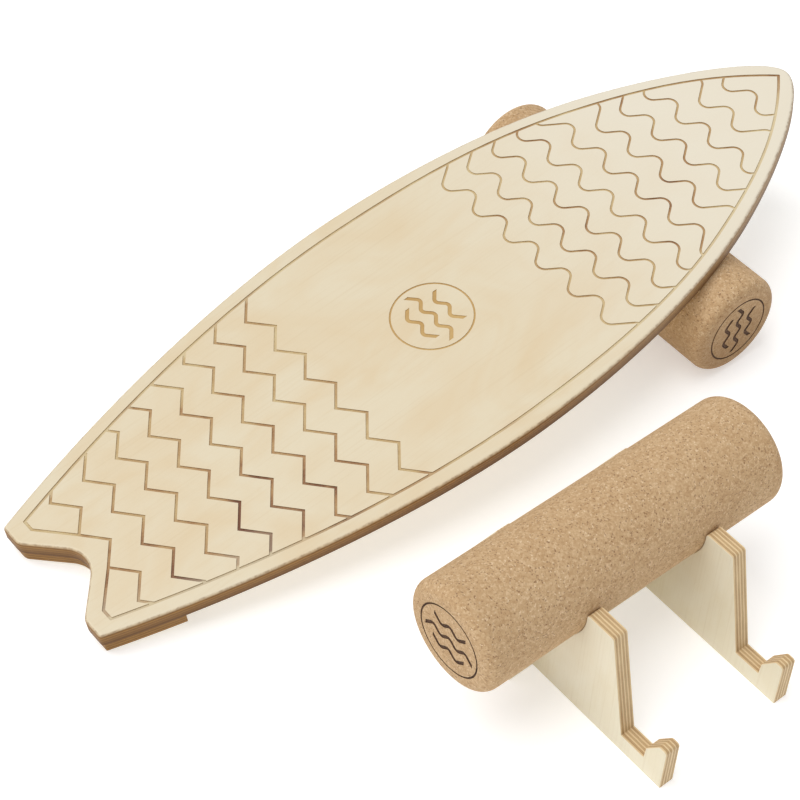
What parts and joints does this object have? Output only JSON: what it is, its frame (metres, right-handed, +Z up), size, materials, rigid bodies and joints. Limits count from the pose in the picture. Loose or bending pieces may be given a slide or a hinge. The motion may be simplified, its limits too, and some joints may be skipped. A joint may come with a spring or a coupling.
{
  "type": "balance board",
  "caption": "Fish-tail plywood balance board leaning on a loose cork roller, beside a two-bracket plywood stand that cradles a cork roller and has slots for the board.",
  "frame": {"origin": "middle of the cross board's bottom edge, on the floor", "axes": "+X along the stored roller and from the deck's tail to its nose, +Y from the stand's open hooks to its rear and on to the deck, +Z up"},
  "size_m": [0.8509, 0.6082, 0.1677],
  "materials": {
    "deck_ply": "oiled birch plywood",
    "stand_ply": "bare birch plywood",
    "cork": "sanded agglomerated cork"
  },
  "bodies": {
    "stand": {"left_bracket": "stand_ply", "right_bracket": "stand_ply", "cross_board": "stand_ply"},
    "deck": {"deck": "deck_ply", "tail_stop": "deck_ply", "nose_stop": "deck_ply"},
    "ride_roller": {"ride_roller": "cork"},
    "stored_roller": {"stored_roller": "cork"}
  },
  "joints": [
    {"name": "deck_tilt", "type": "hinge", "parent": "stand", "child": "deck", "pos_m": [0.296, 0.29, 0.05], "axis": [0, 1, 0], "range_deg": [0, 30.5]},
    {"name": "roller_spin", "type": "hinge", "parent": "deck", "child": "ride_roller", "pos_m": [0.296, 0.29, 0.05], "axis": [0, 1, 0], "continuous": true},
    {"name": "stored_roller_lift", "type": "slide", "parent": "stand", "child": "stored_roller", "axis": [0, 0, 1], "range_m": [0, 0.12]}
  ]
}
